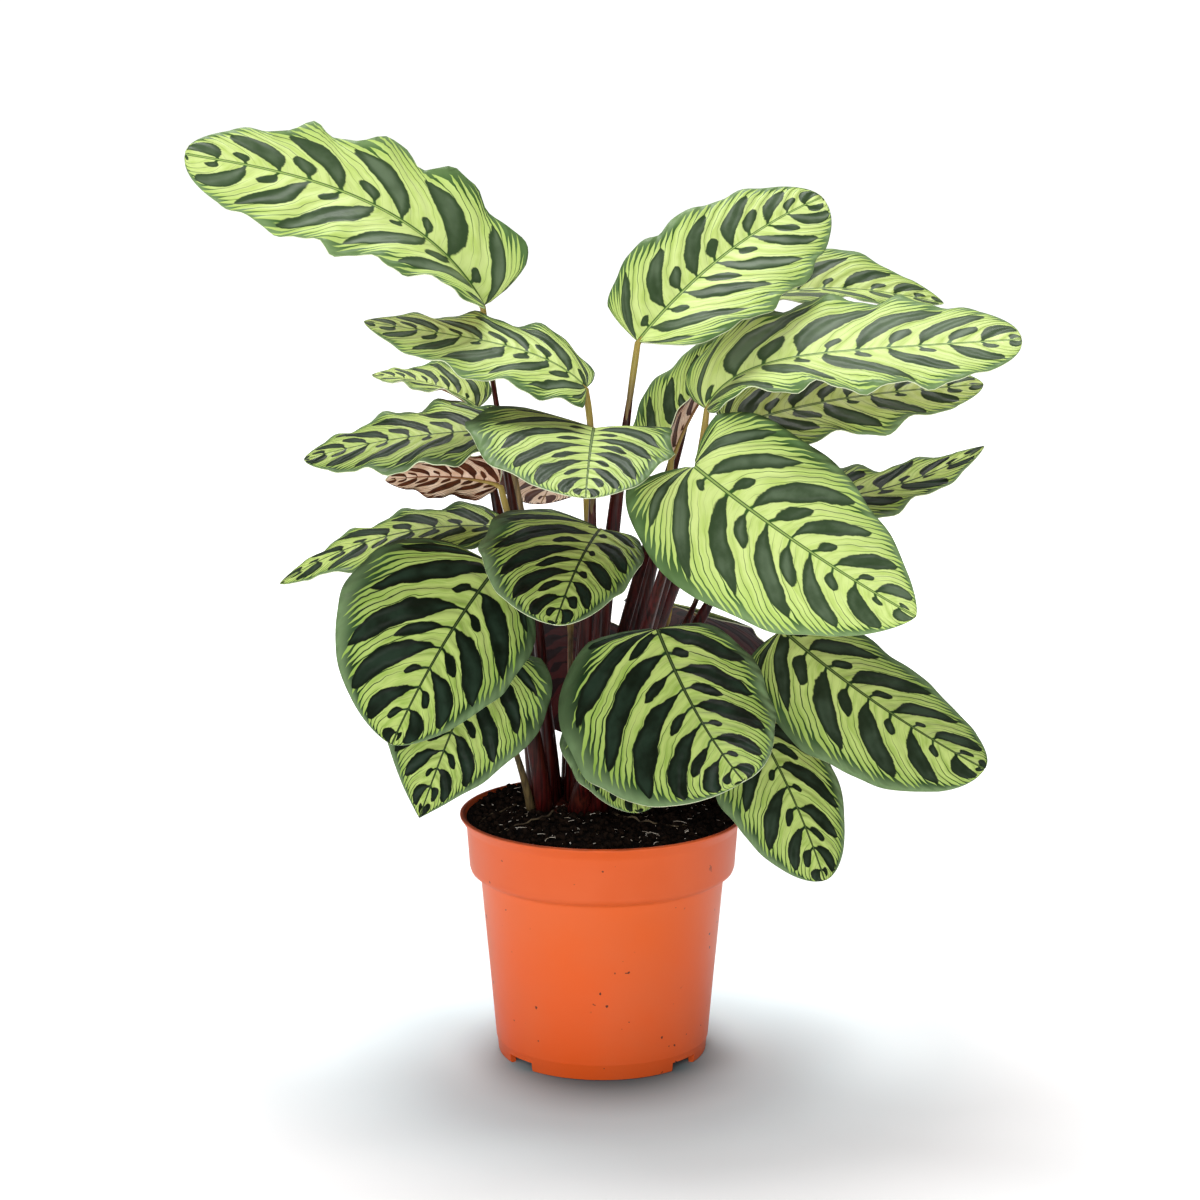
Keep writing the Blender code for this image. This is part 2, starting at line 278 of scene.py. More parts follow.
def tube(built, stations, sides, flat=1.0):
    """Extrudes a ring along stations of (centre, direction, side, radius, share), both ends closed.

    flat is the ring's thickness across `side`, as a share of its width. The share along the tube is kept
    on the corners as the attribute `along`, for the material.
    """
    along = built.verts.layers.float.get("along") or built.verts.layers.float.new("along")

    def ring_matrix(station):
        centre, direction, side, radius, _ = station
        z = direction.normalized()
        y = z.cross(side).normalized()
        x = y.cross(z)
        turn = Matrix((x, y, z)).transposed().to_4x4()
        size = Matrix.Diagonal((radius, radius * flat, radius, 1.0))
        return Matrix.Translation(centre) @ turn @ size

    now = ring_matrix(stations[0])
    ring = bmesh.ops.create_circle(built, segments=sides, radius=1.0, matrix=now)["verts"]
    for corner in ring:
        corner[along] = stations[0][4]
    edges = list({edge for corner in ring for edge in corner.link_edges})
    bmesh.ops.edgeloop_fill(built, edges=edges)
    for station in stations[1:]:
        grown = bmesh.ops.extrude_edge_only(built, edges=edges)["geom"]
        ring = [item for item in grown if isinstance(item, bmesh.types.BMVert)]
        edges = [item for item in grown if isinstance(item, bmesh.types.BMEdge)]
        after = ring_matrix(station)
        bmesh.ops.transform(built, matrix=after @ now.inverted(), verts=ring)
        now = after
        for corner in ring:
            corner[along] = station[4]
    bmesh.ops.edgeloop_fill(built, edges=edges)
    return built


# %% [markdown]
# ## Where the leaves grow
# Each row of the table is one leaf of the solids: where the blade joins its stalk, which way its midrib
# heads and climbs, how it leans, cups and folds, and its size. The fine blades are laid on exactly the
# same surface, so they stay where the solids are.

# %% Leaf table
COLUMNS = "x y z heading rise fall bend bank twist cup fold lobe uneven length width base tip"
Leaf = namedtuple("Leaf", COLUMNS, defaults=(0.34, 0.62))

LEAVES = {"leaf_%02d" % number: Leaf(*row) for number, row in enumerate((
    # the upper leaves, from leaf_01
    (-58, 30, 366, 186, 62, 10, 2, -38, -16, 44, 2, 0, -0.12, 166.3, 82, 0.16, 0.47),
    (17, 4, 352, 38, 42, 14, 1, 30, 10, 30, 4, 0, 0.16, 134, 75, 0.24, 0.5),
    (52, 74, 349, 5, 40, -12, 2, 22, 0, 20, 16, 0, -0.1, 125, 62, 0.34, 0.72),
    (50, -5, 321, 358, 64, 4, 6, 18, 10, 18, 4, 0.02, -0.08, 158.2, 84, 0.34, 0.46),
    (62, 8, 310, 2, 20, 4, 2, 30, 0, 10, 0, 0.05, -0.1, 124, 60, 0.34, 0.6),
    (34, 38, 290, 20, 70, 30, 1, 0, 0, 0, 48, 0.06, -0.2, 80, 46, 0.22, 0.7),
    (-8, -4, 331, 183, 48, 9, 4, -20, 0, 8, 0, 0.05, -0.06, 112, 68, 0.34, 0.72),
    (-62, 52, 313, 172, 40, 4, 2, -8, 0, 20, 10, 0.05, 0, 56, 48, 0.34, 0.72),
    # the middle leaves, from leaf_09
    (-48, -2, 310, 184, 0, -16, 1, -14, 0, 10, 2, 0.05, 0, 96, 74),
    (-4, -14, 313, 268, 0, -18, 1, -4, 0, 10, 6, 0.08, 0.2, 104, 98, 0.34, 0.64),
    (-1, -24, 266, 258, -4, -26, 1, -10, 0, 10, 2, 0.06, 0.28, 102, 76, 0.34, 0.6),
    (43, -46, 300, 329, -32, -22, 1, 52, 0, 10, -4, 0.15, 0.05, 130, 93, 0.34, 0.76),
    (-50, -25, 248, 238, -28, -48, 1, -34, 0, 0, 0, 0.02, 0.2, 112, 94, 0.4, 0.68),
    (-56, -24, 205, 232, -50, -60, 1, -36, 0, 0, 0, 0.22, 0.06, 86, 83, 0.34, 1.0),
    (26, -45, 222, 294, -42, -16, 1, 25, 0, 0, 0, 0.06, 0.25, 107, 98, 0.34, 0.54),
    (87, -10, 214, 335, -36, -22, 1, 38, 0, 0, -12, 0.05, 0.04, 119, 75, 0.34, 0.54),
    (66, -15, 182, 313, -44, -64, 1, 24, 0, 0, -6, 0, 0.06, 99, 63, 0.34, 0.54),
    (4, -36, 183, 284, -24, -50, 1, 6, 0, 0, 0, 0.05, 0, 66, 58, 0.34, 0.6),
    (-52, 26, 258, 182, 4, -34, 1, -14, 0, 10, 0, 0.05, 0, 112, 54, 0.34, 0.72),
    (-50, 18, 281, 184, 14, -10, 1, 42, 0, 10, 4, 0, 0, 56, 42, 0.34, 0.72),
    (75, 15, 274, 3, -6, 32, 1, 18, 0, 10, 4, 0.05, 0, 116, 54, 0.34, 0.8),
    # the leaves at the back, from leaf_22
    (-8, 46, 270, 106, 30, -34, 2, 0, 0, 20, 4, 0.05, 0, 95.5, 72),
    (56, 44, 250, 45, 30, -34, 2, 0, 0, 20, 4, 0.05, 0, 116.5, 76),
    (-50, 46, 226, 140, 10, -42, 2, 0, 0, 10, 2, 0.05, 0, 108, 72),
    (34, 52, 214, 62, -10, -78, 1, 6, 0, 0, 2, 0, 0, 100, 76),
    (-16, 54, 210, 92, -24, -88, 1, 8, 0, 0, 0, 0, 0, 98, 80),
), 1)}

# age, which also holds painted shade: 0 for the pale upper leaves, 1 for the dark low ones, and set
# higher on leaves that lie in shadow. wave: height of the margin's waves in millimetres on the left and
# the right half. waves: how many along the blade. phase: shifts the waves and the ovals, so that no two
# leaves match. The rows are in the order of the leaves.
Look = namedtuple("Look", "age wave_left wave_right waves phase")

LOOKS = dict(zip(LEAVES, (Look(*row) for row in (
    (0.0, 3.2, 4.0, 5.0, 0.1), (0.05, 1.6, 2.2, 4.0, 0.62), (0.15, 1.8, 1.8, 3.5, 0.35),
    (0.05, 2.8, 3.2, 4.5, 0.8), (0.45, 1.6, 3.4, 3.0, 0.2), (0.45, 1.0, 1.0, 3.0, 0.55),
    (0.2, 2.4, 2.4, 3.5, 0.45), (0.3, 1.8, 2.0, 2.5, 0.9), (0.7, 2.4, 2.4, 3.5, 0.3),
    (0.55, 2.0, 1.8, 2.6, 0.05), (0.95, 0.8, 1.2, 3.0, 0.5), (0.2, 1.2, 1.2, 3.0, 0.15),
    (0.9, 0.8, 0.8, 3.0, 0.7), (0.9, 0.8, 0.8, 3.0, 0.25), (0.9, 1.0, 1.0, 3.0, 0.4),
    (0.7, 1.0, 1.0, 3.0, 0.85), (0.8, 0.8, 0.8, 3.0, 0.6), (0.9, 0.8, 0.8, 3.0, 0.0),
    (0.75, 2.0, 2.0, 4.0, 0.75), (0.3, 1.6, 1.6, 2.5, 0.33), (0.85, 2.4, 2.4, 3.5, 0.12),
    (0.45, 1.2, 1.2, 3.5, 0.58), (0.45, 1.2, 1.2, 3.5, 0.93), (0.95, 1.0, 1.0, 3.0, 0.22),
    (0.95, 1.0, 1.0, 3.0, 0.66), (0.95, 1.0, 1.0, 3.0, 0.48),
))))
print(len(LEAVES), "leaves")

# %% [markdown]
# ## The blade's surface
# A blade is a sheet on either side of a midrib. The midrib starts at the stalk and bends from one slope
# to another. Across it the two halves open like a shallow V that droops towards the margins, and the
# margins ruffle a little. `blade_point` turns a place on the flat leaf into a place in space.

# %% Blade surface
BASE_TUCK = 0.03  # share of the length that rounds into the stalk
FIRST_ROW = 0.0005  # just short of the points, so that no face is empty
LAST_ROW = 0.9995
DROOP = 14.0  # degrees that each half turns down on its way to the margin
LOBE_BIAS = 4  # how much more an uneven leaf sweeps back on its wide side
WAVE_SLANT = 0.14  # how far a wave leans along the blade on its way out
SIDE_SHIFT = 0.37  # how far ahead the right half's waves run
MIDRIB_STEPS = 48


def midrib(leaf):
    """(place, forward, right, up) at even steps along the midrib."""
    stations = []
    place = Vector((leaf.x, leaf.y, leaf.z))
    turn = math.radians(leaf.heading)
    level = Vector((math.sin(turn), -math.cos(turn), 0))
    for step in range(MIDRIB_STEPS + 1):
        share = step / MIDRIB_STEPS
        slope = leaf.fall + (leaf.rise - leaf.fall) * (1 - share) ** leaf.bend
        rise = math.radians(slope)
        flat = math.cos(rise)
        forward = Vector((math.cos(turn) * flat, math.sin(turn) * flat, math.sin(rise)))
        lean = Matrix.Rotation(math.radians(leaf.bank + leaf.twist * share), 3, forward)
        right = lean @ level
        stations.append((place.copy(), forward, right, right.cross(forward)))
        place += forward * (leaf.length / MIDRIB_STEPS)
    return stations


def between(stations, share):
    """The midrib at any share of its length."""
    whole = min(share * MIDRIB_STEPS, MIDRIB_STEPS - 1e-6)
    step = int(whole)
    part = whole - step
    return [a.lerp(b, part) for a, b in zip(stations[step], stations[step + 1])]


def tucked(share):
    return min(1.0, share / BASE_TUCK) ** 0.5


def half_width(share, leaf):
    widest = leaf.base / (leaf.base + leaf.tip)
    rising = (share / widest) ** leaf.base * tucked(share) ** 0.5
    falling = ((1 - share) / (1 - widest)) ** leaf.tip
    return leaf.width / 2 * rising * falling


def waves(look, share, across):
    """The margin's waves: how far it lifts off the blade and how far the outline swells."""
    height, shift = (look.wave_right, SIDE_SHIFT) if across > 0 else (look.wave_left, 0.0)
    turn = math.tau * (look.waves * (share - WAVE_SLANT * abs(across)) + look.phase + shift)
    height *= math.sin(math.pi * min(1.0, share * 1.1 + 0.03)) ** 0.5
    lift = height * abs(across) ** 2.2 * (math.sin(turn) + 0.35 * math.sin(2.3 * turn + 1.0))
    swell = height * abs(across) ** 4 * 0.8 * (math.cos(turn) + 0.3 * math.sin(1.7 * turn))
    return lift, swell


def blade_point(leaf, look, stations, share, across):
    """A place in space, and the same place on the flat leaf as shares of its length and half width."""
    place, forward, right, up = between(stations, share)
    side = 1 if across > 0 else -1
    reach = abs(across)
    waved, swell = waves(look, share, across)
    out = half_width(share, leaf) * (1 + leaf.uneven * side) * reach + swell
    cupped = leaf.cup * (1 - share) ** 1.5
    inner = math.radians(leaf.fold + cupped)
    outer = math.radians(leaf.fold + cupped - DROOP * reach)
    lift = (math.sin(inner) + math.sin(outer)) / 2
    spread = (math.cos(inner) + math.cos(outer)) / 2
    swept = leaf.lobe * (1 + LOBE_BIAS * leaf.uneven * side)
    back = swept * leaf.length * reach**2 * (1 - share) ** 3 * tucked(share)
    flat = Vector((share - back / leaf.length, side * out / leaf.length))
    return place + right * (side * out * spread) + up * (out * lift + waved) - forward * back, flat


print("midribs:", MIDRIB_STEPS, "steps each")

# %% [markdown]
# ## The peacock pattern
# The pattern follows the side veins. They leave the midrib at a slant and sweep towards the tip, and in
# the lobes beside the stalk they fan out from one point. One number, `vein`, says which vein a place
# lies on; it goes up by one from each large oval to the next. Ovals, fine lines and the margin's band
# are then simple tests on `vein` and on how far out the place is. Widths are in large ovals, lengths
# are shares of the way out to the margin, and pairs of sizes are for young and for old leaves.

# %% Peacock pattern
VEINS = (5.4, 4.5)  # large ovals along one side of a leaf
VEIN_SLANT = 0.03  # how far a vein runs ahead as it leaves the midrib
VEIN_SWEEP = 0.8  # how much the veins draw apart on their way out
VEIN_CURVE = 0.86  # how strongly they bend towards the tip where the blade is wide
VEIN_HOOK = 0.045  # and everywhere alike
FAN_SHARE = 0.30  # how closely they fan out beside the stalk
FAN_CENTRE = 0.03  # keeps the fan from closing on the midrib itself
WOBBLE = 0.30  # how far a vein wanders
RAGGED = 0.05  # how rough the ovals' edges are
LONGER_AT_BASE = 0.05
THICKER_WITH_AGE = 0.03
FINE_LINES = 6.0  # dark lines from one large oval to the next
LINE_START = (0.12, 0.57)  # where the first and the last of them start
LINE_WIDTH = (0.015, 0.035)  # half of it, where a line starts
LINE_WIDENING = (0.08, 0.15)  # what a line has gained at the margin
FINGER = 0.27  # length of the tapering end of the light finger between two lines
FINGER_END = (0.88, 0.81)  # where the shortest fingers end
FINGER_LONGER = 0.15  # how much further out the longest do
FINGER_CLOSED = 0.52  # just over half of the way between two lines
OVAL_EDGE = (-0.012, 0.016)
OVAL_INSIDE = (0.03, 0.16)  # depths at which an oval's paler middle starts and is full
LINE_EDGE = (-0.03, 0.04)
JOIN_EDGE = (0.045, 0.02)  # a short thin line joins each oval to the midrib
JOIN_END = (0.2, 0.12)
RIB_EDGE = (0.0075, 0.0058)
RIB_CREST = (0.0034, 0.0024)
RIB_TAPER = (1.15, 0.6)  # the midrib's width at the stalk and at the tip

# seed: tells the kinds apart. near, far: where an oval starts and ends. thick: half its thickness.
# longer, fuller: what chance may add to far and thick.
Kind = namedtuple("Kind", "seed near far longer thick fuller")
LARGE_OVAL = Kind(3.0, 0.03, 0.76, 0.14, 0.23, 0.08)
SMALL_OVAL = Kind(8.0, 0.06, 0.18, 0.30, 0.11, 0.08)
Pattern = namedtuple("Pattern", "ovals lines rib crest vein reach inside")


def peacock_pattern(graph):
    """Masks for the marks and the midrib, with the vein and the way out."""
    ramp, larger, smaller = graph.ramp, graph.larger, graph.smaller
    x, y, phase, age = (graph.attribute(name) for name in ("flat_x", "flat_y", "phase", "age"))
    reach, out = abs(graph.attribute("reach")), abs(y)
    right = graph.math("GREATER_THAN", y, 0.0)
    own = graph.math("ROUND", phase * 100.0 + right * 32.0)

    def by_age_and_shade(young, old):
        return age * (old - young) + young

    ahead = x - out * VEIN_SLANT - reach * (out * VEIN_CURVE + reach * VEIN_HOOK)
    straight = larger(ahead, 0.0) / (out * VEIN_SWEEP + 1.0)
    fanned = smaller(ahead, 0.0) * FAN_SHARE / (out + FAN_CENTRE)
    wobble = (graph.noise(graph.vector(x, y, phase * 9.0), 8.0) - 0.5) * WOBBLE
    vein = (straight + fanned) * by_age_and_shade(*VEINS) + (right * 0.5 + phase + wobble)
    brushed = graph.noise(graph.vector(vein * 9.0, reach * 22.0, phase), 1.0, detail=3.0)

    def row_of_ovals(value, kind, longer=0.0, fuller=0.0):
        """How far a place is from the middle of its vein, and how deep inside an oval it lies."""
        whole = graph.math("FLOOR", value)
        off = abs(value - whole - 0.5)
        lot = graph.chance(own + kind.seed + whole)
        far = lot * kind.longer + (kind.far + longer)
        thick = lot * kind.fuller + (kind.thick + fuller)
        part = larger((reach - kind.near) / (far - kind.near), 0.0)
        away = graph.math("POWER", part, 1.25) * 2.0 - 1.0
        round_ = 1.0 - away * away
        rim = graph.math("POWER", larger(round_, 0.0), 0.8) * thick
        return off, rim - off + smaller(round_, 0.0) * 2.0

    longer = ramp(x, 0.40, 0.0, 0.0, LONGER_AT_BASE)
    off, large = row_of_ovals(vein, LARGE_OVAL, longer, age * THICKER_WITH_AGE)
    between_off, small = row_of_ovals(vein + 0.5, SMALL_OVAL)
    inside = larger(large, small) + (brushed - 0.5) * RAGGED

    strand = vein * FINE_LINES
    line_lot = graph.chance(own + graph.math("FLOOR", strand + 0.5))
    finger_lot = graph.chance(own + 500.0 + graph.math("FLOOR", strand))
    start = line_lot * (LINE_START[1] - LINE_START[0]) + LINE_START[0]
    grown = larger((reach - start) / (1.0 - start), -0.2)
    line = grown * by_age_and_shade(*LINE_WIDENING) + by_age_and_shade(*LINE_WIDTH)
    finger_end = finger_lot * FINGER_LONGER + by_age_and_shade(*FINGER_END)
    taper = larger(reach - finger_end + FINGER, 0.0) / FINGER
    width = larger(line, taper * taper * FINGER_CLOSED)
    lines = ramp(width - graph.math("PINGPONG", strand, 0.5), *LINE_EDGE)
    joined = ramp(smaller(off, between_off), *JOIN_EDGE) * ramp(reach, *JOIN_END)

    slim = out / ramp(x, 0.0, 1.0, *RIB_TAPER)
    return Pattern(
        ovals=ramp(inside, *OVAL_EDGE), lines=larger(lines, joined),
        rib=ramp(slim, *RIB_EDGE), crest=ramp(slim, *RIB_CREST),
        vein=vein, reach=reach, inside=ramp(inside, *OVAL_INSIDE),
    )


print("large ovals along each side: %.1f on young leaves, %.1f on old ones" % VEINS)

# %% [markdown]
# ## Leaf finishes
# The pale ground deepens with age and towards the margin, and each dark oval has a paler middle. The
# age value also holds painted light and shade: it is higher on leaves that lie in shadow, and the pale
# colours of the upper leaves include painted glare. Near the tip the dark margin carries a painted
# sheen of paler grey-green. The underside carries the same pattern in cream and brown, and old leaves
# are dark maroon below, partly painted shade. All of it reads attributes on the blade's own corners, so
# the pattern stays on the leaf however the leaf bends. Fine ridges between the veins catch the light.

# %% Leaf finishes
RIDGES = 3  # from one large oval to the next


def ridged(graph, vein):
    return graph.math("SINE", vein * (math.tau * RIDGES))


def upper_finish():
    graph = Finish("leaf_upper", roughness=0.4, specular=0.1)
    ramp, mix = graph.ramp, graph.mix
    marks = peacock_pattern(graph)
    age, x, y, phase = (graph.attribute(name) for name in ("age", "flat_x", "flat_y", "phase"))
    streak = graph.noise(graph.vector(marks.vein * 2.6, marks.reach * 1.2, 0.0), 3.0)
    cloud = graph.noise(graph.vector(x, y, phase), 7.0, detail=4.0)

    # the age value is partly painted light and shade: darker colours on leaves in shadow, paler marks on
    # the upper leaves for their glare
    def aged_and_shaded(young, old):
        return mix(age, young, old)

    ground = aged_and_shaded((214, 232, 148), (184, 205, 114))
    shaded = aged_and_shaded((190, 214, 112), (138, 170, 70))
    outer = aged_and_shaded((176, 206, 100), (128, 166, 66))
    ground = mix(ramp(streak, 0.35, 0.8), ground, shaded)
    ground = mix(ramp(marks.reach, 0.45, 0.95, 0.0, 0.6), ground, outer)
    green = aged_and_shaded((56, 92, 38), (22, 42, 22))
    green = mix(ramp(cloud, 0.4, 0.75), green, aged_and_shaded((86, 122, 66), (48, 76, 44)))
    # painted sheen: towards the tip the dark margin turns paler grey-green
    painted_sheen = ramp(marks.reach, 0.78, 0.97, 0.0, 0.8) * ramp(x, 0.15, 0.55, 0.35, 1.0)
    green = mix(painted_sheen, green, aged_and_shaded((132, 160, 106), (124, 150, 104)))
    dark = aged_and_shaded((60, 80, 50), (7, 12, 8))
    paler = ramp(cloud, 0.3, 0.65) * marks.inside
    dark = mix(paler, dark, aged_and_shaded((100, 118, 90), (20, 40, 30)))
    colour = mix(marks.lines, ground, green)
    colour = mix(marks.ovals, colour, dark)
    colour = mix(marks.rib, colour, aged_and_shaded((78, 112, 54), (20, 32, 18)))
    graph.colour(mix(marks.crest, colour, aged_and_shaded((164, 190, 104), (44, 62, 34))))
    graph.roughness(ramp(cloud, 0.2, 0.8, 0.36, 0.46))
    graph.bump(ridged(graph, marks.vein) + cloud * 3.0, 0.45, 0.0006)
    return graph.material


def under_finish():
    graph = Finish("leaf_under", roughness=0.55, specular=0.12)
    marks = peacock_pattern(graph)
    flat = graph.vector(graph.attribute("flat_x"), graph.attribute("flat_y"), 0.0)
    clouded = graph.ramp(graph.noise(flat, 8.0, detail=4.0), 0.3, 0.7)
    # past 0.6 the age value turns the underside dark maroon, partly the leaf's own colour and partly
    # painted shade
    old = graph.ramp(graph.attribute("age"), 0.6, 0.9)
    pale = graph.mix(clouded, (240, 212, 190), (212, 172, 144))
    pale = graph.mix(old, pale, (60, 18, 18))
    dark = graph.mix(clouded, (58, 26, 20), (92, 48, 30))
    dark = graph.mix(old, dark, (26, 6, 8))
    colour = graph.mix(graph.larger(marks.ovals, marks.lines), pale, dark)
    rib = graph.mix(old, (140, 104, 62), (66, 26, 22))
    graph.colour(graph.mix(marks.rib, colour, rib))
    graph.bump(ridged(graph, marks.vein), 0.3, 0.0004)
    return graph.material


def margin_finish():
    graph = Finish("leaf_margin", roughness=0.45)
    graph.colour((214, 222, 184))
    return graph.material


LEAF_FINISHES = (upper_finish(), under_finish(), margin_finish())
print("leaf finishes:", [finish.name for finish in LEAF_FINISHES])

# %% [markdown]
# ## Blades
# A flat grid is laid onto the surface, row by row closer together at both ends where the outline turns.
# The solidify modifier then gives the sheet its thickness: its top keeps the first finish, its back
# takes the second and the cut edge the third, which shows as the thin pale line round a real leaf.

# %% Blades
BLADE_THICKNESS = 0.5
BLADE_ROWS = 64
BLADE_COLUMNS = 32
EASING = 0.6  # how strongly the rows crowd together at both ends


def make_blade(name, leaf, look):
    stations = midrib(leaf)
    built = bmesh.new()
    layers = {
        key: built.verts.layers.float.new(key) for key in ("flat_x", "flat_y", "reach", "phase", "age")
    }
    bmesh.ops.create_grid(built, x_segments=BLADE_ROWS, y_segments=BLADE_COLUMNS, size=1.0)
    for corner in built.verts:
        even = (corner.co.x + 1) / 2
        eased = (1 - math.cos(math.pi * even)) / 2
        share = FIRST_ROW + (LAST_ROW - FIRST_ROW) * (EASING * eased + (1 - EASING) * even)
        across = -corner.co.y
        corner.co, flat = blade_point(leaf, look, stations, share, across)
        values = (flat.x, flat.y, across, look.phase, look.age)
        for layer, value in zip(layers.values(), values):
            corner[layer] = value
    made = piece(name.replace("leaf", "blade"), built, LEAF_FINISHES, (name,))
    sheet = made.modifiers.new("thickness", "SOLIDIFY")
    sheet.thickness = BLADE_THICKNESS * MM
    sheet.offset = 0.0
    sheet.material_offset = 1
    sheet.material_offset_rim = 2


for leaf_name, leaf_row in LEAVES.items():
    make_blade(leaf_name, leaf_row, LOOKS[leaf_name])
print("blades:", len(LEAVES), "each", BLADE_ROWS * BLADE_COLUMNS, "faces")

# %% [markdown]
# ## Leaf stalks
# Each leaf has its own stalk, which rises from the crown in a gentle curve, thickens into a short joint
# under the blade and runs on beneath it as the raised midrib. One tube makes all three.

# %% Leaf stalks
GAP = 0.3  # air between two solids
UP = Vector((0, 0, 1))
RHIZOME_CENTRE = (-16.0, 12.0)
RHIZOME_TOP = 122.5
STEM_FOOT_RADIUS = 2.3
STEM_SLIM_RADIUS = 1.3
STEM_JOINT_RADIUS = 1.5
SOLID_THICKNESS = 1.0
FEET_RADIUS = 23.5  # room on the crown for the stalks' feet
FEET_SPACING = 7.2
FEET_SPREAD = 55.0  # how far out a foot stands, for how much its stalk leans
LEAVE_UPRIGHT = 0.6  # how much a stalk straightens up as it leaves the crown
ARRIVE_LEANING = 0.3  # and how much it leans the leaf's way as it arrives
TAPER_END = 0.55  # share of the stalk over which its foot slims down
JOINT_START = 0.84
JOINT_SWELL = 0.35
STALK_STEPS = 26
RIB_STEPS = 22
RIB_START, RIB_END = 0.01, 0.86
RIB_RADIUS = 1.0
RIB_TIP_RADIUS = 0.22


def stem_feet():
    """Each stalk's foot: the more a stalk leans, the further out it stands, if there is room."""
    centre = Vector(RHIZOME_CENTRE)
    feet = {}
    for name, leaf in LEAVES.items():
        lean = (Vector((leaf.x, leaf.y)) - centre) / (leaf.z - RHIZOME_TOP)
        feet[name] = lean * FEET_SPREAD
    for _ in range(200):
        for one, other in combinations(feet, 2):
            apart = feet[one] - feet[other]
            if apart.length < FEET_SPACING:
                push = apart.normalized() * (FEET_SPACING - apart.length) / 2
                feet[one] += push
                feet[other] -= push
        for name in feet:
            if feet[name].length > FEET_RADIUS:
                feet[name] *= FEET_RADIUS / feet[name].length
    return {name: centre + foot for name, foot in feet.items()}


def stem_course(leaf, foot):
    """A cubic Bezier from the rhizome to the blade's base, as its four control points."""
    place, forward, right, up = midrib(leaf)[0]
    arrive = (forward * ARRIVE_LEANING + UP).normalized()
    flat = abs(up.dot(arrive))
    edge = half_width(FIRST_ROW, leaf) + STEM_JOINT_RADIUS / max(0.7, flat)
    closed = math.radians(leaf.fold + leaf.cup)
    halves = [right * (side * math.cos(closed)) + up * math.sin(closed) for side in (-1, 1)]
    lowest = max(0.0, *(-half.dot(arrive) for half in halves))
    end = place - arrive * (flat * SOLID_THICKNESS / 2 + lowest * edge + GAP)
    start = Vector((foot.x, foot.y, RHIZOME_TOP))
    reach = (end - start).length
    leave = ((end - start) / reach + UP * LEAVE_UPRIGHT).normalized()
    start.z += GAP + STEM_FOOT_RADIUS * leave.xy.length
    return start, start + leave * reach * 0.35, end - arrive * reach * 0.3, end


def bezier(course, share):
    a, b, c, d = course
    rest = 1 - share
    return a * rest**3 + b * (3 * rest**2 * share) + c * (3 * rest * share**2) + d * share**3


def stalk_radius(share):
    foot = max(0.0, 1 - share / TAPER_END) ** 1.5
    near_joint = max(0.0, (share - JOINT_START) / (1 - JOINT_START))
    joint = math.sin(math.pi * 0.8 * min(1.0, near_joint))
    return STEM_SLIM_RADIUS + (STEM_FOOT_RADIUS - STEM_SLIM_RADIUS) * foot + JOINT_SWELL * joint


def headings(centres):
    """The direction of a course at each of its centres."""
    last = len(centres) - 1
    for step in range(last + 1):
        yield (centres[min(step + 1, last)] - centres[max(step - 1, 0)]).normalized()


def stalk_stations(leaf, foot):
    """Up the stalk, into the blade's base and on along the underside of the blade."""
    course = stem_course(leaf, foot)
    course = (course[0] - UP * 2.0, *course[1:])
    shares = [step / STALK_STEPS for step in range(STALK_STEPS + 1)]
    centres = [bezier(course, share) for share in shares]
    radii = [stalk_radius(share) for share in shares]
    ribs = midrib(leaf)
    for step in range(1, RIB_STEPS + 1):
        along = step / RIB_STEPS
        share = RIB_START + (RIB_END - RIB_START) * along
        place, forward, right, up = between(ribs, share)
        radius = RIB_RADIUS + (RIB_TIP_RADIUS - RIB_RADIUS) * along**0.7
        closing = math.radians(leaf.fold + leaf.cup * (1 - share) ** 1.5)
        centres.append(place - up * (radius * (1.0 + 0.3 * max(0.0, math.sin(closing)))))
        radii.append(radius)
        shares.append(1.0 + along)
    stations = []
    side = Vector((1, 0, 0))
    for centre, direction, radius, share in zip(centres, headings(centres), radii, shares):
        side = (side - direction * side.dot(direction)).normalized()
        stations.append((centre, direction, side, radius, share))
    return stations


def stalk_finish(name, first, second):
    """Two streaked colours low down, olive towards the blade, with a yellowish joint."""
    graph = Finish(name, roughness=0.36, specular=0.25)
    along = graph.attribute("along")
    streak = graph.streaks(900, 40, detail=3.0)
    streaked = graph.ramp(streak, 0.35, 0.7)
    low = graph.mix(streaked, first, second)
    high = graph.mix(streaked, (92, 78, 52), (126, 104, 66))
    joint = graph.mix(streaked, (172, 148, 78), (150, 136, 66))
    colour = graph.mix(graph.ramp(along, 0.30, 0.80), low, high)
    colour = graph.mix(graph.ramp(along, 0.86, 0.95), colour, joint)
    graph.colour(graph.mix(graph.ramp(along, 1.02, 1.5), colour, (132, 84, 56)))
    graph.bump(streak, 0.3, 0.0003)
    return graph.material


MAROON_STALK = stalk_finish("leaf_stalk", (34, 11, 12), (84, 30, 32))
OLIVE_STALK = stalk_finish("olive_stalk", (70, 58, 38), (104, 88, 56))
BARE_STALKS = ("leaf_14", "leaf_20")  # olive from the soil up, with no sheath
FEET = stem_feet()
for leaf_name, leaf_row in LEAVES.items():
    stalk = tube(bmesh.new(), stalk_stations(leaf_row, FEET[leaf_name]), 12)
    bmesh.ops.recalc_face_normals(stalk, faces=stalk.faces)
    stem_name = leaf_name.replace("leaf", "stem")
    finish = OLIVE_STALK if leaf_name in BARE_STALKS else MAROON_STALK
    piece(leaf_name.replace("leaf", "stalk"), stalk, (finish,), (stem_name,))
print("stalks:", len(FEET))

# %% [markdown]
# ## Pot
# A nursery pot is moulded in one go from orange plastic. Turning a profile gives its body: foot ring,
# tapered wall, the step under the wide band and the thin lip. Short round corners matter more than the
# long walls, because they catch the light. Four notches in the foot ring let water out.

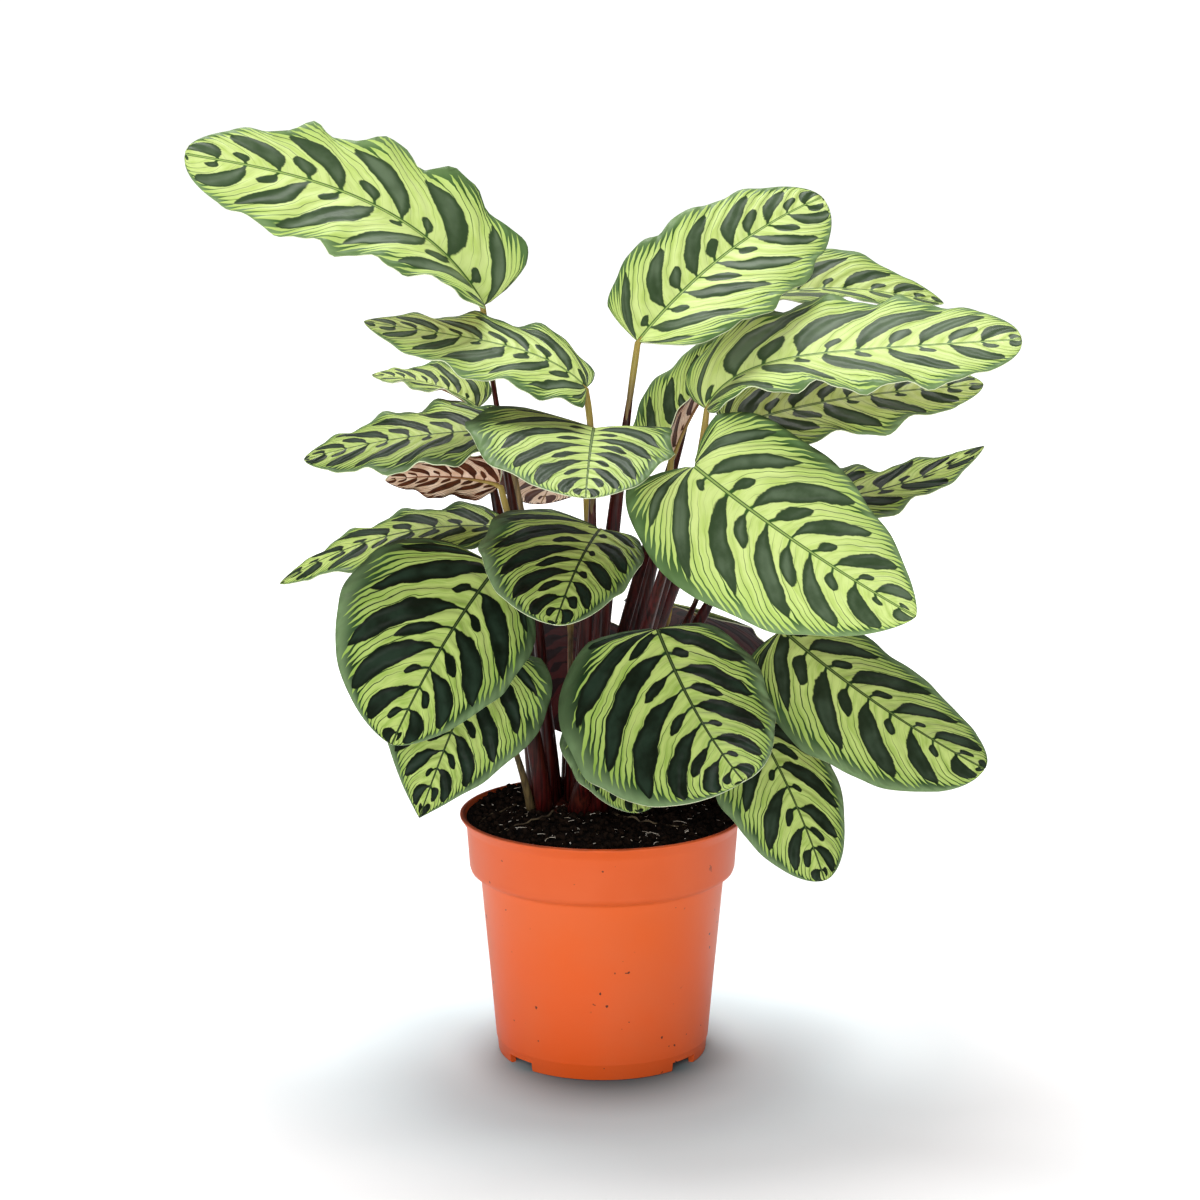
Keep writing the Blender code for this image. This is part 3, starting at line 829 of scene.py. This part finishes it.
# %% Pot
POT_HEIGHT = 121.0
LIP_RADIUS = 70.0
BAND_TOP_RADIUS = 66.6
BAND_LOW_RADIUS = 65.2
BAND_LOW = 91.0
WALL_TOP_RADIUS = 59.8
BASE_RADIUS = 51.9
WALL = 1.4
FLOOR_HEIGHT = 5.0
STEP_HEIGHT = 8.0
STEP_DEPTH = 0.5
NOTCH_ANGLES = (219.0, 321.0, 141.0, 39.0)
NOTCH_WIDTH = 17.0
NOTCH_HEIGHT = 4.6
NOTCH_DEPTH = 14.0
POT_SEGMENTS = 160


def wall_radius(height):
    return BASE_RADIUS + (WALL_TOP_RADIUS - BASE_RADIUS) * height / BAND_LOW


def around(radius, height, *offsets):
    """Points of a profile beside the corner at this radius and height."""
    return [(radius + out, height + up) for out, up in offsets]


def pot_profile():
    return [
        (0.0, FLOOR_HEIGHT),
        (BASE_RADIUS - 4.0, FLOOR_HEIGHT),
        *around(BASE_RADIUS, 0.0, (-3.4, 0.0), (-1.6, 0.0), (-0.7, 0.3), (-0.4, 1.0)),
        *around(wall_radius(STEP_HEIGHT), STEP_HEIGHT, (-STEP_DEPTH, -1.0), (-0.1, -0.3), (0.0, 0.3)),
        (wall_radius(45.0), 45.0),
        *around(WALL_TOP_RADIUS, BAND_LOW, (0.0, -2.0), (0.7, -0.6)),
        *around(BAND_LOW_RADIUS, BAND_LOW, (-2.2, 0.6), (-0.7, 1.8), (0.0, 3.8)),
        *around(BAND_TOP_RADIUS, POT_HEIGHT, (0.0, -6.6), (0.5, -5.2)),
        *around(LIP_RADIUS, POT_HEIGHT, (-0.8, -2.0), (-0.15, -1.1), (-0.15, -0.5)),
        *around(LIP_RADIUS, POT_HEIGHT, (-0.7, 0.0), (-1.5, 0.1), (-2.2, -0.3)),
        (BAND_TOP_RADIUS - WALL, POT_HEIGHT - 5.0),
        (BAND_LOW_RADIUS - WALL, BAND_LOW + 4.0),
        (WALL_TOP_RADIUS - WALL, BAND_LOW - 0.5),
        (wall_radius(FLOOR_HEIGHT) - WALL, FLOOR_HEIGHT + WALL),
        (0.0, FLOOR_HEIGHT + WALL),
    ]


def pot_finish():
    """Orange plastic: a faint mottle, a redder band, a grimed lip and specks of soil."""
    graph = Finish("pot_plastic", roughness=0.42, specular=0.35)
    place, height = graph.position(), graph.axis("Z")
    cloud = graph.noise(place, 22.0, detail=4.0)
    patch = graph.noise(place, 30.0, detail=2.0)
    colour = graph.mix(graph.ramp(height, 0.0, 0.1), (232, 90, 28), (228, 98, 36))
    band = graph.ramp(height, (BAND_LOW - 1) * MM, (BAND_LOW + 2) * MM)
    colour = graph.mix(band, colour, (216, 90, 34))
    colour = graph.mix(graph.ramp(cloud, 0.35, 0.75, 0.0, 0.45), colour, (222, 104, 56))
    speck = graph.ramp(graph.noise(place, 260.0, detail=1.0), 0.745, 0.765)
    colour = graph.mix(speck * graph.ramp(patch, 0.45, 0.55), colour, (84, 40, 24))
    lip = graph.ramp(height, (POT_HEIGHT - 1.4) * MM, POT_HEIGHT * MM, 0.0, 0.7)
    graph.colour(graph.mix(lip * graph.ramp(patch, 0.38, 0.58), colour, (110, 48, 28)))
    graph.roughness(graph.ramp(cloud, 0.3, 0.7, 0.38, 0.5))
    graph.bump(graph.noise(place, 420.0, detail=2.0) + cloud * 2.0, 0.12, 0.0002)
    return graph.material


pot = turned(pot_profile(), POT_SEGMENTS)
pot_piece = piece("pot_moulded", pot, (pot_finish(),), ("pot",))
pot_piece.data.set_sharp_from_angle(angle=math.radians(40))

notches = bmesh.new()
for angle in NOTCH_ANGLES:
    turn = Matrix.Rotation(math.radians(angle), 4, "Z")
    block = bmesh.ops.create_cube(notches, size=1.0)["verts"]
    bmesh.ops.scale(notches, vec=(NOTCH_DEPTH, NOTCH_WIDTH, NOTCH_HEIGHT * 2), verts=block)
    bmesh.ops.translate(notches, vec=(BASE_RADIUS - 1.0, 0, 0), verts=block)
    bmesh.ops.transform(notches, matrix=turn, verts=block)
notch_tool = mesh_object("notches", notches)
cut = pot_piece.modifiers.new("notches", "BOOLEAN")
cut.object = notch_tool
cut.operation = "DIFFERENCE"
settled = bpy.data.meshes.new_from_object(
    pot_piece.evaluated_get(bpy.context.evaluated_depsgraph_get())
)
pot_piece.modifiers.clear()
pot_piece.data = settled
bpy.data.objects.remove(notch_tool)
print("pot:", len(settled.polygons), "faces")

# %% [markdown]
# ## Soil
# Potting soil is damp peat: almost black, crumbly, with pale fibres and a few white crumbs of perlite.
# A turned disc pushed up and down by noise is the bed, with the soil heaped up on one side of the
# stalks. Crumbs, perlite and fibres are strewn over it, and a few thin roots arch over the crumbs.

# %% Soil
SOIL_EDGE = 120.2
SOIL_TOP = 122.6
SOIL_RADIUS = 66.6
SOIL_RINGS, SOIL_SEGMENTS = 60, 180
CLODS = ((6.0, 2.0), (2.2, 0.9))  # size and height of the bumps
SURFACE_ROOTS = (  # x, y and height above the bed
    ((-24, -8, 2.0), (-24, -26, 4.5), (-38, -30, 3.0), (-50, -37, 0.2)),
    ((6, -12, 1.0), (14, -30, 3.0), (30, -34, 2.0), (44, -28, 0.2)),
    ((-42, 6, 1.0), (-48, -4, 2.5), (-56, -8, 1.5), (-60, -18, 0.2)),
)
CRUMBS_OUT, FIBRES_OUT = 64.5, 61.0  # how far out they lie
ROOT_STEPS = 18
ROOT_RADIUS, ROOT_TAPER = 0.62, 0.4
HEAP = (-33.0, 40.0, 17.0, 5.0)  # x, y, spread and height


def soil_height(x, y):
    """The bed's height: a low dome with crumbly bumps."""
    out = min(1.0, math.hypot(x, y) / SOIL_RADIUS)
    dome = SOIL_EDGE - 1.0 + (SOIL_TOP - SOIL_EDGE) * (1 - out**3)
    place = Vector((x, y, 0.0))
    clods = sum(noise.noise(place / size) * height for size, height in CLODS)
    x_heap, y_heap, spread, height = HEAP
    heap = height * math.exp(-((x - x_heap) ** 2 + (y - y_heap) ** 2) / (2 * spread**2))
    return dome + (clods + heap) * (1 - out**6)


def make_soil():
    """The bed with its underside, which follows the inside of the pot."""
    rings = [(SOIL_RADIUS * step / SOIL_RINGS, SOIL_TOP) for step in range(SOIL_RINGS + 1)]
    low = STEP_HEIGHT
    below = [
        (BAND_TOP_RADIUS - WALL - 0.4, POT_HEIGHT - 5.5),
        (WALL_TOP_RADIUS - WALL - 0.6, BAND_LOW - 2.0),
        (wall_radius(low) - WALL - 0.6, low),
        (0.0, low),
    ]
    built = turned(rings + below, SOIL_SEGMENTS)
    for corner in built.verts:
        if corner.co.z > SOIL_TOP - 1:
            corner.co.z = soil_height(corner.co.x, corner.co.y)
    return built


def soil_finish():
    graph = Finish("soil_peat", roughness=0.95, specular=0.08)
    place = graph.position()
    coarse = graph.noise(place, 160.0, detail=5.0, roughness=0.65)
    fine = graph.noise(place, 900.0, detail=3.0)
    colour = graph.mix(graph.ramp(coarse, 0.35, 0.7), (8, 6, 5), (30, 20, 15))
    graph.colour(graph.mix(graph.ramp(fine, 0.66, 0.74), colour, (70, 52, 40)))
    graph.bump(coarse + fine, 0.9, 0.0012)
    return graph.material


def strewn(count, seed, radius):
    """Even random places on the bed."""
    draw = random.Random(seed)
    for _ in range(count):
        out, turn = radius * math.sqrt(draw.random()), draw.random() * math.tau
        x, y = out * math.cos(turn), out * math.sin(turn)
        yield draw, Vector((x, y, soil_height(x, y)))


def crumbs(count, seed, smallest, largest):
    """Squashed balls, most of them small, sunk a little into the bed."""
    built = bmesh.new()
    for draw, place in strewn(count, seed, CRUMBS_OUT):
        size = smallest + (largest - smallest) * draw.random() ** 2
        turn = Matrix.Rotation(draw.random() * math.tau, 4, Vector((draw.random(), draw.random(), 1.0)))
        squash = Matrix.Diagonal((size * (0.7 + 0.6 * draw.random()), size, size * 0.7, 1.0))
        matrix = Matrix.Translation(place + UP * size * 0.25) @ turn @ squash
        bmesh.ops.create_icosphere(built, subdivisions=1, radius=0.5, matrix=matrix)
    return built


def fibres(count, seed):
    """Short bent hairs that lie on the bed, a few of them long."""
    built = bmesh.new()
    for draw, place in strewn(count, seed, FIBRES_OUT):
        heading = draw.random() * math.tau
        length = 1.2 + 7.0 * draw.random() ** 3
        curl = (draw.random() - 0.5) * 1.6
        lift = 0.5 + 1.2 * draw.random()
        stations = []
        for step in range(4):
            share = step / 3
            turn = heading + curl * share
            direction = Vector((math.cos(turn), math.sin(turn), 0.25 * (0.5 - share)))
            centre = place + direction * (length * (share - 0.5)) + UP * lift
            stations.append((centre, direction, UP, 0.16, share))
        tube(built, stations, 3)
    return built


def surface_roots():
    """Thin roots that arch over the bed."""
    built = bmesh.new()
    for course in SURFACE_ROOTS:
        shares = [step / ROOT_STEPS for step in range(ROOT_STEPS + 1)]
        centres = []
        for share in shares:
            x, y, lift = bezier([Vector(point) for point in course], share)
            lift += 0.4 * noise.noise(Vector((x, y, 3.0)) / 3.0)
            centres.append(Vector((x, y, soil_height(x, y) + lift)))
        stations = [
            (centre, direction, UP, ROOT_RADIUS - ROOT_TAPER * share, share)
            for centre, direction, share in zip(centres, headings(centres), shares)
        ]
        tube(built, stations, 6)
    return built


def plain_finish(name, first, second, scale, roughness, specular=0.3):
    graph = Finish(name, roughness=roughness, specular=specular)
    tone = graph.noise(graph.position(), scale, detail=3.0)
    graph.colour(graph.mix(graph.ramp(tone, 0.3, 0.7), first, second))
    graph.bump(tone, 0.4, 0.0004)
    return graph.material


SOIL_FINISH = soil_finish()
piece("soil_bed", make_soil(), (SOIL_FINISH,), ("soil",))
clod_finish = plain_finish("soil_clods", (7, 6, 5), (36, 25, 18), 500.0, 0.95, 0.06)
piece("soil_crumbs", crumbs(2600, 11, 0.8, 4.6), (clod_finish,), flat_faces=True)
perlite_finish = plain_finish("perlite", (232, 228, 220), (196, 188, 176), 600.0, 0.85)
piece("perlite", crumbs(36, 23, 0.5, 1.6), (perlite_finish,), flat_faces=True)
fibre_finish = plain_finish("peat_fibre", (246, 240, 228), (196, 180, 156), 200.0, 0.8)
piece("peat_fibres", fibres(230, 37), (fibre_finish,))
root_finish = plain_finish("root_skin", (104, 90, 66), (58, 46, 32), 300.0, 0.7)
piece("surface_roots", surface_roots(), (root_finish,))
print("soil strewn, with", len(SURFACE_ROOTS), "roots")

# %% [markdown]
# ## Crown
# The stalks grow out of a short rhizome at the soil's surface. Low down each stalk is wrapped in a
# papery sheath that browns with age: widest at the soil, higher up the stalk on tall leaves. The crown
# is a lumpy ball under them, and each sheath is a flattened tube that follows its stalk. Two olive
# stalks have lost their sheaths.

# %% Crown
RHIZOME_RADIUS = 28.0
CROWN_CENTRE = Vector((*RHIZOME_CENTRE, RHIZOME_TOP - 8.0))
CROWN_SQUASH = 0.36
SHEATH_STEPS = 14
SHEATH_FLARE = 2.9
SHEATH_FLAT = 0.66
SHEATH_TOP = (0.50, 0.76)  # on low and on tall leaves, as a share of the stalk
SHEATH_HIGHER = 0.14  # what chance may add
LOW_LEAF, TALL_LEAF = 200.0, 300.0


def make_crown():
    built = bmesh.new()
    squash = Matrix.Translation(CROWN_CENTRE) @ Matrix.Diagonal((1.0, 1.0, CROWN_SQUASH, 1.0))
    bmesh.ops.create_icosphere(built, subdivisions=5, radius=RHIZOME_RADIUS - 0.5, matrix=squash)
    for corner in built.verts:
        place = corner.co.copy()
        bumps = noise.noise(place / 5.0) + noise.noise(place / 2.0) * 0.5
        corner.co += (place - CROWN_CENTRE).normalized() * bumps
    return built


def make_sheaths():
    """One tube for each stalk that still has its sheath."""
    built = bmesh.new()
    draw = random.Random(5)
    lowest, highest = SHEATH_TOP
    for name, leaf in LEAVES.items():
        if name in BARE_STALKS:
            continue
        course = stem_course(leaf, FEET[name])
        tall = min(1.0, max(0.0, (leaf.z - LOW_LEAF) / (TALL_LEAF - LOW_LEAF)))
        top = lowest + (highest - lowest) * tall + SHEATH_HIGHER * draw.random()
        side = Matrix.Rotation(draw.random() * math.tau, 3, "Z") @ Vector((1, 0, 0))
        stations = []
        for step in range(SHEATH_STEPS + 1):
            share = step / SHEATH_STEPS
            along = top * share
            centre = bezier(course, along)
            direction = (bezier(course, along + 0.02) - centre).normalized()
            radius = stalk_radius(along) + SHEATH_FLARE * (1 - share**4) + 0.1
            stations.append((centre, direction, side, radius, share))
        tube(built, stations, 12, flat=SHEATH_FLAT)
    bmesh.ops.recalc_face_normals(built, faces=built.faces)
    return built


def sheath_finish():
    graph = Finish("papery_sheath", roughness=0.3, specular=0.22)
    streak = graph.streaks(700, 30, detail=4.0, roughness=0.6)
    streaked = graph.ramp(streak, 0.3, 0.7)
    cloud = graph.noise(graph.position(), 60.0, detail=3.0)
    maroon = graph.mix(streaked, (22, 5, 5), (72, 16, 14))
    brown = graph.mix(streaked, (26, 9, 7), (76, 30, 20))
    graph.colour(graph.mix(graph.ramp(cloud, 0.45, 0.6), maroon, brown))
    graph.bump(streak, 0.5, 0.0005)
    return graph.material


SHEATH_FINISH = sheath_finish()
piece("crown", make_crown(), (SHEATH_FINISH,), ("rhizome",))
piece("stalk_sheaths", make_sheaths(), (SHEATH_FINISH,))
print("sheaths:", len(LEAVES) - len(BARE_STALKS))

# %% [markdown]
# ## Studio floor
# A big sheet of pale paper runs out of view, so the ground meets the backdrop without a line. It gives
# off a little light, more of it further out, and so turns white away from the plant. Gloss hardly sees
# that light. Beside the orange pot the paper has a painted cool tint against the orange light reflected
# off the pot, and right at its foot a painted shadow.

# %% Studio floor
FLOOR_SIZE = 60.0
WHITE = (1.0, 1.0, 1.0, 1.0)
GLOW_RINGS = ((0.07, 0.16, 0.17), (0.12, 0.42, 0.14), (0.35, 1.3, 0.52))  # from, to, strength
HALO = ((0.05, 0.08), (0.18, 0.13))  # one more ring, behind the pot alone
HALO_BEHIND = (-0.12, 0.02, 0.0, 0.16)
MIRRORED_LOSS = 0.85  # share of the glow that gloss doesn't see
BESIDE_POT = (0.24, 0.07)
# where the painted shadow at the pot's foot is centred and how far it reaches
FOOT_SHADOW_CENTRE = (0.004, -0.03, 0.0)
FOOT_SHADOW_EDGE = (0.016, 0.078)
PAPER = (0.85, 0.85, 0.85, 1.0)
# a painted cool tint, against the orange light reflected off the pot
PAPER_BESIDE_POT = (0.69, 0.85, 0.89, 1.0)
PAINTED_SHADOW_AT_FOOT = (0.125, 0.185, 0.20, 1.0)


def floor_finish():
    graph = Finish("floor_paper", roughness=0.9, specular=0.2)
    distance = graph.distance((0.0, 0.0, 0.0))
    halo = graph.ramp(distance, *HALO[0]) * graph.ramp(distance, *HALO[1])
    glow = halo * graph.ramp(graph.axis("Y"), *HALO_BEHIND)
    for start, end, strength in GLOW_RINGS:
        glow += graph.ramp(distance, start, end, 0.0, strength)
    glow *= 1.0 - graph.ray("Is Glossy Ray") * MIRRORED_LOSS
    graph.shader.inputs["Emission Color"].default_value = WHITE
    graph.plug(graph.shader.inputs["Emission Strength"], glow)
    # near the pot the paper takes the painted cool tint
    paper = graph.mix(graph.ramp(distance, *BESIDE_POT), PAPER, PAPER_BESIDE_POT)
    # painted shadow: the paper darkens to its darkest colour at the pot's foot
    foot_shadow = graph.ramp(graph.distance(FOOT_SHADOW_CENTRE), *FOOT_SHADOW_EDGE)
    graph.colour(graph.mix(foot_shadow, PAINTED_SHADOW_AT_FOOT, paper))
    return graph.material


sheet = bmesh.new()
bmesh.ops.create_grid(sheet, x_segments=1, y_segments=1, size=FLOOR_SIZE / MM)
floor = mesh_object("floor", sheet, (floor_finish(),))
floor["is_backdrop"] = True
print("floor:", 2 * FLOOR_SIZE, "m wide")

# %% [markdown]
# ## Studio light
# A white sky fills every shadow softly. Its strength depends on the kind of ray: white behind the
# plant, gentler as light, dim in the leaves' gloss. Large soft lights stand above, in front and on the
# left.

# %% Studio light
SKY_LIGHT = 0.32  # how strongly the white sky lights the plant
SKY_MIRRORED = 0.10  # how bright it is in the leaves' gloss
SKY_SEEN = 1.0  # and behind the plant
LIGHT_AIM = Vector((0.0, 0.0, 0.25))

world = bpy.data.worlds.new("studio")
world.use_nodes = True
background = world.node_tree.nodes["Background"]
background.inputs["Color"].default_value = WHITE
sky = Graph(world.node_tree)
mirrored = sky.ray("Is Glossy Ray") * (SKY_MIRRORED - SKY_LIGHT)
seen = sky.ray("Is Camera Ray") * (SKY_SEEN - SKY_LIGHT)
sky.plug(background.inputs["Strength"], mirrored + seen + SKY_LIGHT)
bpy.context.scene.world = world
bpy.context.scene.view_settings.view_transform = "Standard"


def soft_light(name, place, size, power):
    lamp = bpy.data.lights.new(name, "AREA")
    lamp.shape = "DISK"
    lamp.size = size
    lamp.energy = power
    holder = put_in_scene(name, lamp)
    holder.location = place
    holder.rotation_euler = (LIGHT_AIM - Vector(place)).to_track_quat("-Z", "Y").to_euler()


soft_light("key_light", (-0.12, 0.95, 2.2), 1.5, 50)
soft_light("front_light", (-0.2, -2.2, 0.7), 1.4, 24)
soft_light("side_light", (-1.7, -0.9, 0.9), 1.2, 6)
print("sky and three lights set")

# %% [markdown]
# ## Size and finish
# The solids' box and the dressed plant's box are both printed. The dressed plant may stand only
# a little proud of the solids.

# %% Finish
dressed_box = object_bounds()
print("dressed box, mm:", [[round(value / MM, 1) for value in corner] for corner in dressed_box])
[[list(corner) for corner in box] for box in (solid_box, dressed_box)]
